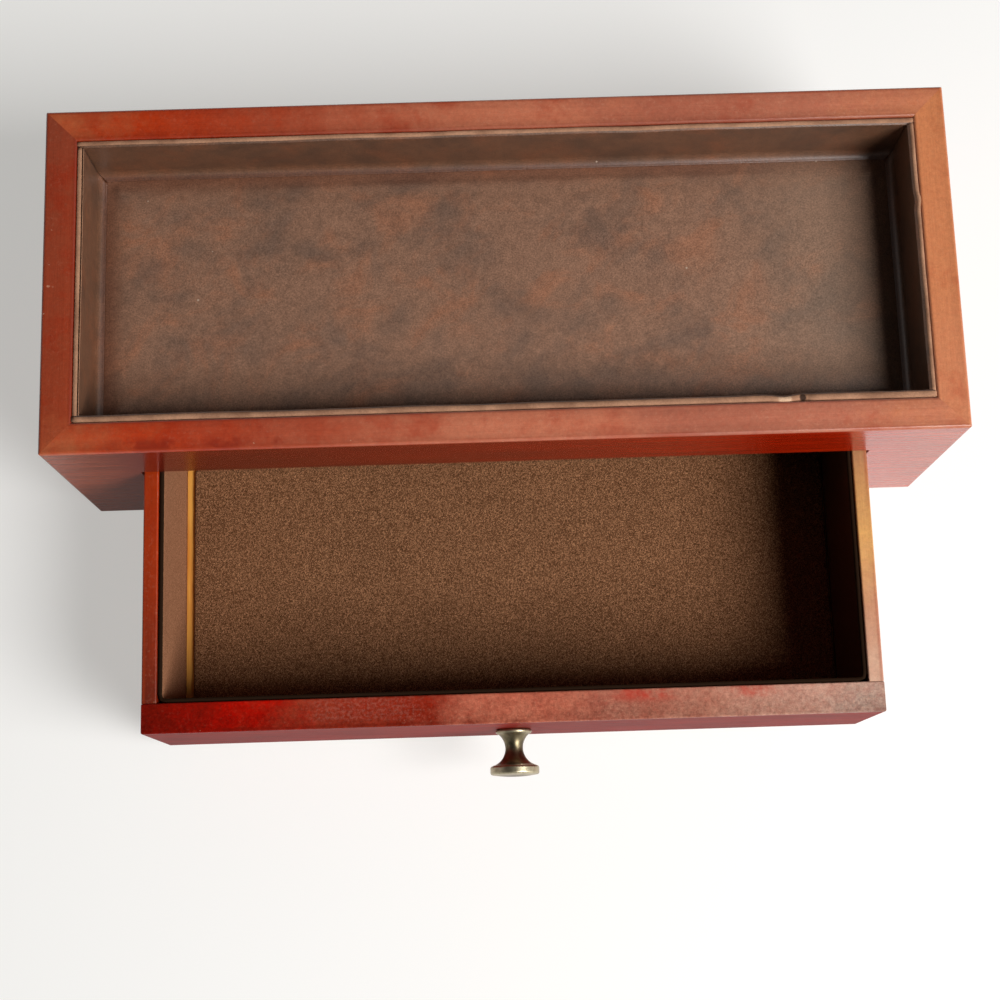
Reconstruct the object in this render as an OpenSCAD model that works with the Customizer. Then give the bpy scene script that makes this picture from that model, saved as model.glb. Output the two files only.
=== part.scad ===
// Valet box: a shallow mitred case with a leather-lined tray over one felt-lined drawer.
// Sizes are in millimetres. The origin is the middle of the case's footprint on the table,
// with +X to the right, +Y to the back and +Z up. The drawer is drawn pulled out.

/* [Case] */
// Outside width of the case
case_w = 300; // [270:1:360]
// Outside depth of the case, front to back
case_d = 118; // [112:1:160]
// Height of the rim over the table
case_h = 89.5; // [84:0.5:110]
// Thickness of the four case boards
board_t = 10.5; // [9:0.5:13]
// Radius of the eased outer edges of the case
arris_r = 1; // [0.5:0.1:2]
// Width of the front board beside the drawer opening
stile_w = 27.5; // [24:0.5:40]
// Height of the sill under the drawer opening, over the table
sill_top = 10; // [8:0.5:14]
// Clearance of a board in its groove or rebate
fit_gap = 0.1; // [0.05:0.05:0.3]

/* [Mitre splines] */
// Thickness of a spline
spline_t = 2; // [1.5:0.1:2.4]
// Width of a spline, half in each board
spline_w = 8; // [5:0.5:9]
// Wood left over each end of a spline
spline_stop = 5; // [3:0.5:10]

/* [Base] */
// Thickness of the felt that the box stands on
base_felt_t = 1; // [0.8:0.1:2]
// How far the felt stays back from the case's faces
base_felt_inset = 1.5; // [1:0.1:4]
// Thickness of the base board
base_t = 4; // [3:0.5:5]
// Depth of the rebate that takes the base board
base_rebate = 6; // [5:0.5:7]
// Shank diameter of a base screw
base_screw_d = 2.5; // [2:0.1:3]
// Head diameter of a base screw
base_screw_head_d = 5; // [4:0.1:5.6]
// Length of a base screw
base_screw_l = 16; // [12:0.5:20]

/* [Drawer runners] */
// Thickness of the upright fence of a runner
runner_fence_t = 8; // [5:0.5:10]
// Height of the upright fence over the base board
runner_fence_h = 22; // [14:0.5:30]
// Width of the ledge under the drawer's side
runner_ledge_w = 8; // [7:0.5:16]

/* [Tray] */
// Depth of the tray, from the rim to the tray board
tray_depth = 24.8; // [18:0.1:30]
// Thickness of the tray board
tray_board_t = 3; // [2:0.5:4]
// Depth of the groove that takes the tray board
tray_groove_d = 3; // [2:0.5:4]
// Thickness of a wall liner at its raw top edge
liner_t = 1.9; // [1.2:0.1:2.8]
// Thickness of a wall liner at its foot
liner_foot_t = 4.3; // [3:0.1:5]
// Height of the cove at the foot of a wall liner
liner_cove_h = 4.5; // [3.5:0.1:12]
// How far the liners stop below the rim
liner_drop = 0.5; // [0.2:0.1:2]
// Play of the liners and the pad where they meet
lining_gap = 0.3; // [0.2:0.1:0.6]
// Thickness of the pad in its middle
pad_t = 3; // [2:0.1:6]
// Thickness of the pad at its rim
pad_rim_t = 0.8; // [0.5:0.1:1.5]
// Width over which the pad's edge rolls down
pad_roll = 6; // [3:0.5:10]
// Share of the pad's rise that is crown
pad_crown = 0.2; // [0.1:0.05:0.4]

/* [Drawer] */
// Length of the drawer that is still in the case as drawn
drawer_hold = 19.5; // [14:0.5:90]
// Clearance at each side of the drawer
drawer_side_gap = 0.75; // [0.4:0.05:1.2]
// Clearance over the drawer
drawer_top_gap = 1.2; // [0.6:0.1:2]
// Running clearance under the drawer
drawer_run_gap = 0.3; // [0.2:0.1:0.6]
// Clearance behind the drawer when it is shut
drawer_stop_gap = 0.5; // [0.3:0.1:2]
// Thickness of the drawer front
drawer_front_t = 10; // [9:0.1:14]
// Thickness of the drawer sides
drawer_side_t = 5; // [4.5:0.5:8]
// Thickness of the drawer back
drawer_back_t = 6; // [5:0.5:8]
// Thickness of the drawer bottom
drawer_bottom_t = 3; // [2:0.5:4]
// Depth of the rebates in the drawer's boards
drawer_rebate = 3; // [2.5:0.5:3.5]
// Radius of the eased edges of the drawer's boards
drawer_arris_r = 0.6; // [0.3:0.1:1]
// Diameter of a dowel between the front and a side
dowel_d = 3; // [2:0.5:3.5]
// Length of a dowel, half in each board
dowel_l = 14; // [10:1:16]
// Shank diameter of a bottom pin
pin_d = 1.2; // [0.8:0.1:1.4]
// Head diameter of a bottom pin
pin_head_d = 2; // [1.6:0.1:2.2]
// Length of a bottom pin
pin_l = 12; // [8:0.5:16]
// Pins along each side of the bottom
pins_per_side = 4; // [2:1:6]

/* [Drawer felt] */
// Thickness of the felt band round the walls
felt_band_t = 1.2; // [0.8:0.1:2]
// Corner radius of the felt band
felt_corner_r = 3; // [2.5:0.5:8]
// Play between the felt band and the wood
felt_gap = 0.3; // [0.2:0.05:0.6]
// How far the felt band stops below the drawer's top edge
felt_drop = 1; // [0.5:0.1:3]
// Thickness of the felt-covered floor card
felt_floor_t = 1.5; // [1:0.1:3]
// Bare strip of wood left beside the floor card, at the left
felt_strip = 2.7; // [1:0.1:5]

/* [Knob] */
// Length of the knob, from the drawer front to its face
knob_l = 16; // [14:0.1:22]
// Diameter of the collar against the drawer front
knob_collar_d = 12.2; // [10:0.1:15]
// Thickness of the collar
knob_collar_t = 1.7; // [1.5:0.1:3]
// Diameter of the neck at its waist
knob_neck_d = 6; // [5.4:0.1:7]
// Diameter of the round face
knob_face_d = 16.6; // [15:0.1:20]
// Thickness of the round face at its edge
knob_face_t = 3.6; // [3:0.1:4.4]
// Rise of the domed front of the face
knob_dome = 0.6; // [0.3:0.1:0.8]
// Radius of the rounded edges
knob_edge_r = 0.8; // [0.4:0.1:0.9]
// Shank diameter of the knob screw
knob_screw_d = 3; // [2.5:0.1:3.2]
// Head diameter of the knob screw
knob_screw_head_d = 7; // [5.5:0.1:8]
// Height of the knob screw's head
knob_screw_head_h = 2.2; // [1.5:0.1:3]
// Length of thread in the knob
knob_screw_bite = 9; // [6:0.5:11]

/* [Hidden] */
$fn = 48;

// Colours of the finishes
lacquer = [0.45, 0.13, 0.05];
bare_wood = [0.72, 0.50, 0.28];
leatherette = [0.38, 0.27, 0.21];
felt_brown = [0.35, 0.26, 0.19];
antique_brass = [0.55, 0.47, 0.30];
steel = [0.62, 0.62, 0.62];

// Overlap of a cutting tool past the face that it cuts
past = 1;
// Free play round a round piece in its hole
hole_play = 0.1;

// Case: inside faces, heights and the drawer opening
inner_w = case_w - 2 * board_t;
inner_d = case_d - 2 * board_t;
boards_z = base_felt_t;
base_top = boards_z + base_t;
tray_top = case_h - tray_depth;
opening_top = tray_top - tray_board_t;
opening_w = case_w - 2 * stile_w;
opening_h = opening_top - sill_top;
// Middle of a spline along the mitre, clear of the tray board's groove
spline_in = tray_groove_d * sqrt(2) + spline_t;
// Base screws: one in each stile and the corners behind, and one in the middle of the other boards
screw_x = (case_w - stile_w) / 2;
screw_in = board_t - base_rebate / 2;
screw_head_h = (base_screw_head_d - base_screw_d) / 2;
base_screw_spots = [
    [-screw_x, screw_in - case_d / 2], [screw_x, screw_in - case_d / 2],
    [-screw_x, case_d / 2 - screw_in], [0, case_d / 2 - screw_in], [screw_x, case_d / 2 - screw_in],
    [screw_in - case_w / 2, 0], [case_w / 2 - screw_in, 0]
];

// Lining of the tray
liner_h = tray_depth - liner_drop;
pad_w = inner_w - 2 * (liner_foot_t + lining_gap);
pad_d = inner_d - 2 * (liner_foot_t + lining_gap);

// Drawer: outside sizes, its place and the space inside it
drawer_w = opening_w - 2 * drawer_side_gap;
drawer_h = opening_h - drawer_top_gap - drawer_run_gap;
drawer_l = case_d - board_t - drawer_stop_gap;
drawer_z = sill_top + drawer_run_gap;
drawer_pull = drawer_l - drawer_hold;
drawer_y = -case_d / 2 - drawer_pull;
drawer_inner_w = drawer_w - 2 * drawer_side_t;
drawer_inner_l = drawer_l - drawer_front_t - drawer_back_t;
drawer_inner_y = drawer_y + drawer_front_t;
drawer_floor_z = drawer_z + drawer_bottom_t;
drawer_rear_y = drawer_y + drawer_l;
// Bottom board, let into rebates all round
bottom_w = drawer_inner_w + 2 * (drawer_rebate - fit_gap);
bottom_l = drawer_inner_l + 2 * (drawer_rebate - fit_gap);
pin_x = (drawer_inner_w + drawer_rebate) / 2;
pin_head_h = (pin_head_d - pin_d) / 2;
pin_pitch = drawer_inner_l / pins_per_side;
// Dowels: two to a side, a quarter of the height from its ends
dowel_x = (drawer_w - drawer_side_t) / 2;
dowel_heights = [drawer_z + drawer_h / 4, drawer_z + drawer_h * 3 / 4];
// Felt band and floor card
band_w = drawer_inner_w - 2 * felt_gap;
band_l = drawer_inner_l - 2 * felt_gap;
band_mid_y = drawer_inner_y + drawer_inner_l / 2;
band_h = drawer_h - drawer_bottom_t - felt_drop;
card_w = band_w - 2 * felt_band_t - felt_gap - felt_strip;
card_l = band_l - 2 * felt_band_t - 2 * felt_gap;
card_x = (felt_strip - felt_gap) / 2;
card_r = felt_corner_r - felt_band_t;

// Knob: the neck is hollowed by one arc between the collar and the face
knob_z = drawer_z + drawer_h / 2;
knob_face_z = knob_l - knob_face_t;
knob_throat = knob_face_z - knob_collar_t;
knob_cove_r = knob_throat * 0.57;
knob_cove_z = knob_collar_t + knob_throat * 0.44;
knob_face_end = knob_l - knob_dome;
knob_bore_l = knob_screw_bite + 1;

// Rectangle with round corners, centred
module round_rect(w, d, r) {
    square([w - 2 * r, d], center = true);
    square([w, d - 2 * r], center = true);
    for (x = [-1, 1], y = [-1, 1])
        translate([x * (w / 2 - r), y * (d / 2 - r)])
            circle(r);
}

// Board section with its two top corners rounded, standing on the X axis
module round_top(w, h, r) {
    square([w, h - r]);
    translate([r, 0])
        square([w - 2 * r, h]);
    for (x = [r, w - r])
        translate([x, h - r])
            circle(r);
}

// Case board along X, its outer face at y = 0, mitred at both ends and cut for the base and the tray
module case_board(l) {
    difference() {
        intersection() {
            translate([0, 0, boards_z])
                linear_extrude(case_h - boards_z)
                    polygon([[-l / 2, 0], [l / 2, 0], [l / 2 - board_t, board_t], [board_t - l / 2, board_t]]);
            translate([-l / 2, 0, boards_z])
                rotate([90, 0, 90])
                    linear_extrude(l)
                        round_top(board_t, case_h - boards_z, arris_r);
        }
        // Rebate for the base board
        translate([-l / 2, board_t - base_rebate, boards_z - past])
            cube([l, base_rebate + past, base_t + past]);
        // Groove for the tray board
        translate([-l / 2, board_t - tray_groove_d, opening_top])
            cube([l, tray_groove_d + past, tray_board_t + fit_gap]);
    }
}

// Spline across a mitre at the case's front left corner, grown by some play
module corner_spline(play) {
    translate([board_t - case_w / 2, board_t - case_d / 2, base_top + spline_stop - play])
        rotate(45)
            translate([-spline_in - spline_t / 2 - play, -spline_w / 2 - play, 0])
                cube([
                    spline_t + 2 * play,
                    spline_w + 2 * play,
                    case_h - base_top - 2 * spline_stop + 2 * play
                ]);
}

module all_splines(play) {
    for (x = [0, 1], y = [0, 1])
        mirror([x, 0, 0])
            mirror([0, y, 0])
                corner_spline(play);
}

// Screw pointing up from z = 0, with a countersunk head, grown by some play
module wood_screw(d, head_d, head_h, l, play) {
    rotate_extrude()
        polygon([
            [0, 0], [head_d / 2 + play, 0], [d / 2 + play, head_h],
            [d / 2 + play, l - d / 2], [0, l + play]
        ]);
}

module all_base_screws(play) {
    for (spot = base_screw_spots)
        translate([spot.x, spot.y, boards_z])
            wood_screw(base_screw_d, base_screw_head_d, screw_head_h, base_screw_l, play);
}

// What the four boards share: eased outer corners, spline slots and screw holes
module finished_board() {
    difference() {
        intersection() {
            children();
            linear_extrude(case_h)
                round_rect(case_w, case_d, arris_r);
        }
        all_splines(fit_gap);
        all_base_screws(hole_play);
    }
}

module front_panel() {
    color(lacquer)
        finished_board()
            difference() {
                translate([0, -case_d / 2, 0])
                    case_board(case_w);
                translate([-opening_w / 2, -case_d / 2 - past, sill_top])
                    cube([opening_w, board_t + 2 * past, opening_h]);
            }
}

module back_panel() {
    color(lacquer)
        finished_board()
            rotate(180)
                translate([0, -case_d / 2, 0])
                    case_board(case_w);
}

module left_side() {
    color(lacquer)
        finished_board()
            rotate(-90)
                translate([0, -case_w / 2, 0])
                    case_board(case_d);
}

module right_side() {
    color(lacquer)
        finished_board()
            rotate(90)
                translate([0, -case_w / 2, 0])
                    case_board(case_d);
}

module mitre_splines() {
    color(bare_wood)
        all_splines(0);
}

module base_board() {
    w = inner_w + 2 * (base_rebate - fit_gap);
    d = inner_d + 2 * (base_rebate - fit_gap);
    color(bare_wood)
        difference() {
            translate([-w / 2, -d / 2, boards_z])
                cube([w, d, base_t]);
            all_base_screws(hole_play);
        }
}

module base_screws() {
    color(steel)
        all_base_screws(0);
}

module base_felt() {
    color(felt_brown)
        linear_extrude(base_felt_t)
            round_rect(case_w - 2 * base_felt_inset, case_d - 2 * base_felt_inset, arris_r);
}

// L-section runner along the right of the drawer: an upright fence and a ledge
module runner() {
    ledge_t = sill_top - base_top;
    translate([opening_w / 2, inner_d / 2, base_top])
        rotate([90, 0, 0])
            linear_extrude(inner_d)
                polygon([
                    [-runner_ledge_w, 0], [runner_fence_t, 0], [runner_fence_t, runner_fence_h],
                    [0, runner_fence_h], [0, ledge_t], [-runner_ledge_w, ledge_t]
                ]);
}

module left_runner() {
    color(bare_wood)
        mirror([1, 0, 0])
            runner();
}

module right_runner() {
    color(bare_wood)
        runner();
}

module tray_board() {
    w = inner_w + 2 * (tray_groove_d - fit_gap);
    d = inner_d + 2 * (tray_groove_d - fit_gap);
    color(bare_wood)
        translate([-w / 2, -d / 2, opening_top])
            cube([w, d, tray_board_t]);
}

// Height of the pad's roll at a distance from its edge, from 0 at the edge to 1
function roll(s) = s >= pad_roll ? 1 : (1 - cos(180 * s / pad_roll)) / 2;

// Crown of the pad across one way, from 0 at the edge to 1 in the middle
function crown(s, half) = 1 - pow(1 - s / half, 2);

// Places across one way of the pad: close together in the rolled edge, wide apart in the middle
function pad_stations(l, n_roll, n_flat) = concat(
    [for (i = [0 : n_roll - 1]) pad_roll * i / n_roll],
    [for (i = [0 : n_flat]) pad_roll + (l - 2 * pad_roll) * i / n_flat],
    [for (i = [n_roll - 1 : -1 : 0]) l - pad_roll * i / n_roll]
);

function pad_height(x, y) =
    let (sx = min(x, pad_w - x), sy = min(y, pad_d - y))
    let (rolled = roll(sx) * roll(sy), crowned = crown(sx, pad_w / 2) * crown(sy, pad_d / 2))
    pad_rim_t + (pad_t - pad_rim_t) * ((1 - pad_crown) * rolled + pad_crown * crowned);

// Leather-covered pad: a flat underside and a crowned top whose edges roll down
module tray_pad() {
    xs = pad_stations(pad_w, 6, 14);
    ys = pad_stations(pad_d, 6, 8);
    nx = len(xs);
    ny = len(ys);
    top = [for (y = ys, x = xs) [x, y, pad_height(x, y)]];
    low = [for (y = ys, x = xs) [x, y, 0]];
    n = nx * ny;
    cells = [for (j = [0 : ny - 2], i = [0 : nx - 2]) j * nx + i];
    rim = concat(
        [for (i = [0 : nx - 2]) [i, i + 1]],
        [for (j = [0 : ny - 2]) [j * nx + nx - 1, (j + 1) * nx + nx - 1]],
        [for (i = [nx - 1 : -1 : 1]) [(ny - 1) * nx + i, (ny - 1) * nx + i - 1]],
        [for (j = [ny - 1 : -1 : 1]) [j * nx, (j - 1) * nx]]
    );
    faces = concat(
        [for (c = cells) each [[c, c + nx, c + nx + 1], [c, c + nx + 1, c + 1]]],
        [for (c = cells) each [[n + c, n + c + nx + 1, n + c + nx], [n + c, n + c + 1, n + c + nx + 1]]],
        [for (e = rim) each [[e[0], e[1], n + e[1]], [e[0], n + e[1], n + e[0]]]]
    );
    color(leatherette)
        translate([-pad_w / 2, -pad_d / 2, tray_top])
            polyhedron(concat(top, low), faces);
}

// Section of a wall liner, its back on the wall at x = 0, with a cove between its face and its foot
module liner_section() {
    run = liner_foot_t - liner_t;
    cove_r = (pow(run, 2) + pow(liner_cove_h, 2)) / (2 * run);
    difference() {
        square([liner_foot_t, liner_h]);
        translate([liner_t, liner_cove_h])
            square([run + past, liner_h]);
        translate([liner_t + cove_r, liner_cove_h])
            circle(cove_r);
    }
}

// Section of the space that a long liner needs, with the play at its face
module liner_space() {
    translate([lining_gap, 0])
        liner_section();
    translate([0, -past])
        square([lining_gap + liner_t, liner_h + 2 * past]);
    translate([0, -past])
        square([lining_gap + liner_foot_t, past]);
}

// Liner along the front wall, over the full width of the tray
module long_liner() {
    l = inner_w - 2 * lining_gap;
    translate([-l / 2, -inner_d / 2, tray_top])
        rotate([90, 0, 90])
            linear_extrude(l)
                liner_section();
}

// Liner along the left wall, its ends cut to lie against the long liners
module short_liner() {
    difference() {
        translate([-inner_w / 2, inner_d / 2, tray_top])
            rotate([90, 0, 0])
                linear_extrude(inner_d)
                    liner_section();
        for (y = [0, 1])
            mirror([0, y, 0])
                translate([-inner_w / 2 - past, -inner_d / 2, tray_top])
                    rotate([90, 0, 90])
                        linear_extrude(liner_foot_t + 2 * past)
                            liner_space();
    }
}

module tray_liner_front() {
    color(leatherette)
        long_liner();
}

module tray_liner_back() {
    color(leatherette)
        mirror([0, 1, 0])
            long_liner();
}

module tray_liner_left() {
    color(leatherette)
        short_liner();
}

module tray_liner_right() {
    color(leatherette)
        mirror([1, 0, 0])
            short_liner();
}

module all_dowels(play) {
    for (x = [-dowel_x, dowel_x], z = dowel_heights)
        translate([x, drawer_inner_y + dowel_l / 2 + play, z])
            rotate([90, 0, 0])
                cylinder(d = dowel_d + 2 * play, h = dowel_l + 2 * play);
}

module all_bottom_pins(play) {
    for (x = [-pin_x, pin_x], i = [0.5 : pins_per_side - 0.5])
        translate([x, drawer_inner_y + i * pin_pitch, drawer_z])
            wood_screw(pin_d, pin_head_d, pin_head_h, pin_l, play);
}

// Space that the bottom board takes out of the drawer's boards
module bottom_rebate() {
    w = drawer_inner_w + 2 * drawer_rebate;
    l = drawer_inner_l + 2 * drawer_rebate;
    translate([-w / 2, drawer_inner_y - drawer_rebate, drawer_z - past])
        cube([w, l, drawer_bottom_t + past]);
}

module drawer_front() {
    color(lacquer)
        difference() {
            intersection() {
                translate([-drawer_w / 2, drawer_y + drawer_front_t / 2, drawer_z + drawer_h / 2])
                    rotate([90, 0, 90])
                        linear_extrude(drawer_w)
                            round_rect(drawer_front_t, drawer_h, drawer_arris_r);
                translate([0, drawer_y + drawer_front_t / 2, drawer_z])
                    linear_extrude(drawer_h)
                        round_rect(drawer_w, drawer_front_t, drawer_arris_r);
            }
            bottom_rebate();
            all_dowels(hole_play);
            knob_screw_shape(hole_play);
        }
}

// Drawer side at the right, with a rabbet at its rear end for the back
module drawer_side() {
    difference() {
        translate([drawer_w / 2 - drawer_side_t, drawer_rear_y, drawer_z])
            rotate([90, 0, 0])
                linear_extrude(drawer_l - drawer_front_t)
                    round_top(drawer_side_t, drawer_h, drawer_arris_r);
        bottom_rebate();
        translate([drawer_inner_w / 2 - past, drawer_rear_y - drawer_back_t, drawer_z - past])
            cube([drawer_rebate + past, drawer_back_t + past, drawer_h + 2 * past]);
        all_dowels(hole_play);
        all_bottom_pins(hole_play);
    }
}

module drawer_left_side() {
    color(lacquer)
        mirror([1, 0, 0])
            drawer_side();
}

module drawer_right_side() {
    color(lacquer)
        drawer_side();
}

module drawer_back() {
    w = drawer_inner_w + 2 * (drawer_rebate - fit_gap);
    color(lacquer)
        difference() {
            translate([-w / 2, drawer_rear_y - drawer_back_t, drawer_z])
                rotate([90, 0, 90])
                    linear_extrude(w)
                        round_top(drawer_back_t, drawer_h, drawer_arris_r);
            bottom_rebate();
        }
}

module drawer_bottom() {
    color(bare_wood)
        difference() {
            translate([-bottom_w / 2, drawer_inner_y - drawer_rebate + fit_gap, drawer_z])
                cube([bottom_w, bottom_l, drawer_bottom_t]);
            all_bottom_pins(hole_play);
        }
}

module drawer_dowels() {
    color(bare_wood)
        all_dowels(0);
}

module drawer_bottom_pins() {
    color(steel)
        all_bottom_pins(0);
}

module drawer_felt_floor() {
    color(felt_brown)
        translate([card_x, band_mid_y, drawer_floor_z])
            linear_extrude(felt_floor_t)
                round_rect(card_w, card_l, card_r);
}

module drawer_felt_band() {
    color(felt_brown)
        translate([0, band_mid_y, drawer_floor_z])
            linear_extrude(band_h)
                difference() {
                    round_rect(band_w, band_l, felt_corner_r);
                    round_rect(band_w - 2 * felt_band_t, band_l - 2 * felt_band_t, card_r);
                }
}

// Half section of the knob: radius along X, distance from the drawer front along Y
module knob_section() {
    r = knob_edge_r;
    collar_r = knob_collar_d / 2;
    face_r = knob_face_d / 2;
    // Collar with a rounded edge
    square([collar_r - r, knob_collar_t]);
    translate([0, r])
        square([collar_r, knob_collar_t - 2 * r]);
    for (y = [r, knob_collar_t - r])
        translate([collar_r - r, y])
            circle(r);
    // Neck hollowed by one arc that runs out along the back of the face
    difference() {
        translate([0, knob_collar_t])
            square([face_r - r, knob_throat]);
        translate([knob_neck_d / 2 + knob_cove_r, knob_cove_z])
            circle(knob_cove_r);
    }
    // Round face with rounded edges
    translate([0, knob_face_z])
        square([face_r - r, knob_face_end - knob_face_z]);
    translate([0, knob_face_z + r])
        square([face_r, knob_face_end - knob_face_z - 2 * r]);
    for (y = [knob_face_z + r, knob_face_end - r])
        translate([face_r - r, y])
            circle(r);
    // Shallow dome over the face
    dome_rim = face_r - r;
    dome_r = (pow(dome_rim, 2) + pow(knob_dome, 2)) / (2 * knob_dome);
    intersection() {
        translate([0, knob_face_z])
            square([dome_rim, knob_face_t]);
        translate([0, knob_l - dome_r])
            circle(dome_r, $fn = 180);
    }
}

module drawer_knob() {
    color(antique_brass)
        difference() {
            translate([0, drawer_y, knob_z])
                rotate([90, 0, 0])
                    rotate_extrude()
                        knob_section();
            translate([0, drawer_y + past, knob_z])
                rotate([90, 0, 0])
                    cylinder(d = knob_screw_d + 2 * hole_play, h = knob_bore_l + past);
        }
}

// Screw from behind the drawer front into the knob, its head let into the wood
module knob_screw_shape(play) {
    head_y = drawer_inner_y;
    translate([0, head_y, knob_z])
        rotate([90, 0, 0])
            cylinder(d = knob_screw_head_d + 2 * play, h = knob_screw_head_h + play);
    translate([0, head_y, knob_z])
        rotate([90, 0, 0])
            cylinder(d = knob_screw_d + 2 * play, h = drawer_front_t + knob_screw_bite);
}

module knob_screw() {
    color(steel)
        knob_screw_shape(0);
}

front_panel();
back_panel();
left_side();
right_side();
mitre_splines();
base_board();
base_screws();
base_felt();
left_runner();
right_runner();
tray_board();
tray_pad();
tray_liner_front();
tray_liner_back();
tray_liner_left();
tray_liner_right();
drawer_front();
drawer_left_side();
drawer_right_side();
drawer_back();
drawer_bottom();
drawer_dowels();
drawer_bottom_pins();
drawer_felt_floor();
drawer_felt_band();
drawer_knob();
knob_screw();
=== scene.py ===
import math

import bpy
import numpy as np
from mathutils import Euler, Matrix, Vector, noise


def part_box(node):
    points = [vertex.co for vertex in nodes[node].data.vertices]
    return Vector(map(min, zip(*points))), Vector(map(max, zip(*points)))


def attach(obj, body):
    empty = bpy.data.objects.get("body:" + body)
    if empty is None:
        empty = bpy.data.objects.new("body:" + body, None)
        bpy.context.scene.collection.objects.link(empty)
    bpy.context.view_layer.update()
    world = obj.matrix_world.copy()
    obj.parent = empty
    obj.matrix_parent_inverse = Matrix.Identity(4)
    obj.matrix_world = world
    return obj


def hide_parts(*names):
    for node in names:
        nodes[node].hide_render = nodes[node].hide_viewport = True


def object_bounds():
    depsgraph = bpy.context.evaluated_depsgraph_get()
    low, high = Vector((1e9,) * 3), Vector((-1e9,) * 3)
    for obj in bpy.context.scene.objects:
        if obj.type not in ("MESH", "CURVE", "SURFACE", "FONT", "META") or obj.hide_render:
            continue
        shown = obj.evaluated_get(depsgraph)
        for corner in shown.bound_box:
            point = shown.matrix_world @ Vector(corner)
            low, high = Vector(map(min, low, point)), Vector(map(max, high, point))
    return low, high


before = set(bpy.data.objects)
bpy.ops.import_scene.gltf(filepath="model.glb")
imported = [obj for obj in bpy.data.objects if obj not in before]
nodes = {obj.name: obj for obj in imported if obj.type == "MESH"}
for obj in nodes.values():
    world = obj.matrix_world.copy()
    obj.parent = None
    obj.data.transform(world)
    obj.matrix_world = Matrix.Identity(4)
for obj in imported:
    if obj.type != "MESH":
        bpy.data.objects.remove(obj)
cadLow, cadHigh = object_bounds()
mm = 0.001
print("frame loaded:", len(nodes), "pieces of the box")


# Camera, light and floor

cameraLook = {
    "place": (-5.63 * mm, -193.78 * mm, 631.19 * mm),
    "turn": (12.048, 0.0415, -1.7666),  # degrees
    "lens": 62.68,
}

softbox = {
    "watts": 26,
    "size": (0.68, 0.70),  # along the box's width and its depth
    "distance": 1.35,
    "lean": (0.86, -0.59),  # to the right and to the front for each 1 up
    "colour": (1.0, 0.988, 0.97),
}

studio = {
    "floorSize": 8.0,
    "floorDrop": 0.1 * mm,
    "floorColour": (0.88, 0.88, 0.87),
    "floorShown": (0.50, 0.50, 0.50),  # for the camera, which also sees a glow that lifts the shadows
    "glowColour": (1.0, 0.99, 0.95),
    "cameraGlow": 0.47,
    "glossGlow": 0.10,
    "skyHorizon": 0.85,  # what the camera and gloss see low down
    "skyOverhead": 0.10,  # and high up
    "wallLight": 1.3,  # a low band of light in front of the box, for its upright faces
    "roofLight": 0.03,
}


def makeCamera():
    camera = bpy.data.objects.new("camera", bpy.data.cameras.new("camera"))
    bpy.context.scene.collection.objects.link(camera)
    camera.location = cameraLook["place"]
    camera.rotation_euler = Euler([math.radians(a) for a in cameraLook["turn"]], "XYZ")
    camera.data.lens = cameraLook["lens"]
    camera.data.sensor_width = 36
    camera.data.clip_start = 0.01
    bpy.context.scene.camera = camera


def makeLamp():
    aim = Vector((0, (cadLow.y + cadHigh.y) / 2, cadHigh.z / 2))
    lamp = bpy.data.lights.new("softbox", "AREA")
    lamp.shape = "RECTANGLE"
    lamp.size, lamp.size_y = softbox["size"]
    lamp.energy = softbox["watts"]
    lamp.color = softbox["colour"]
    holder = bpy.data.objects.new("softbox", lamp)
    bpy.context.scene.collection.objects.link(holder)
    towards = Vector((*softbox["lean"], 1)).normalized()
    # the sides of the lamp stay square to the box
    across = (Vector((1, 0, 0)) - towards * towards.x).normalized()
    holder.location = aim + towards * softbox["distance"]
    holder.rotation_euler = Matrix((across, towards.cross(across), towards)).transposed().to_euler()


def seenRay(tree):
    # 1 for what the camera, gloss and glass look at, 0 for what lights the box
    path = put(tree, "ShaderNodeLightPath", {}).outputs
    seen = path["Is Camera Ray"]
    for ray in ("Is Glossy Ray", "Is Transmission Ray"):
        seen = calc(tree, "MAXIMUM", seen, path[ray])
    return seen


def makeSky():
    world = bpy.data.worlds.new("studio")
    bpy.context.scene.world = world
    world.use_nodes = True
    tree = world.node_tree
    tree.nodes.clear()
    direction = put(tree, "ShaderNodeTexCoord", {}).outputs["Generated"]
    ways = put(tree, "ShaderNodeSeparateXYZ", {"Vector": direction}).outputs
    height = ways["Z"]
    seenLevel = blend(tree, height, 0.1, 0.7, studio["skyHorizon"], studio["skyOverhead"])
    low = calc(tree, "MULTIPLY", fall(tree, height, 0.08, 0.24), fall(tree, ways["Y"], -0.8, 0.0))
    light = calc(tree, "ADD", calc(tree, "MULTIPLY", low, studio["wallLight"]), studio["roofLight"])
    level = mixValue(tree, seenRay(tree), light, seenLevel)
    back = put(tree, "ShaderNodeBackground", {"Color": (1, 1, 1, 1), "Strength": level})
    put(tree, "ShaderNodeOutputWorld", {"Surface": back.outputs[0]})


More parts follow.
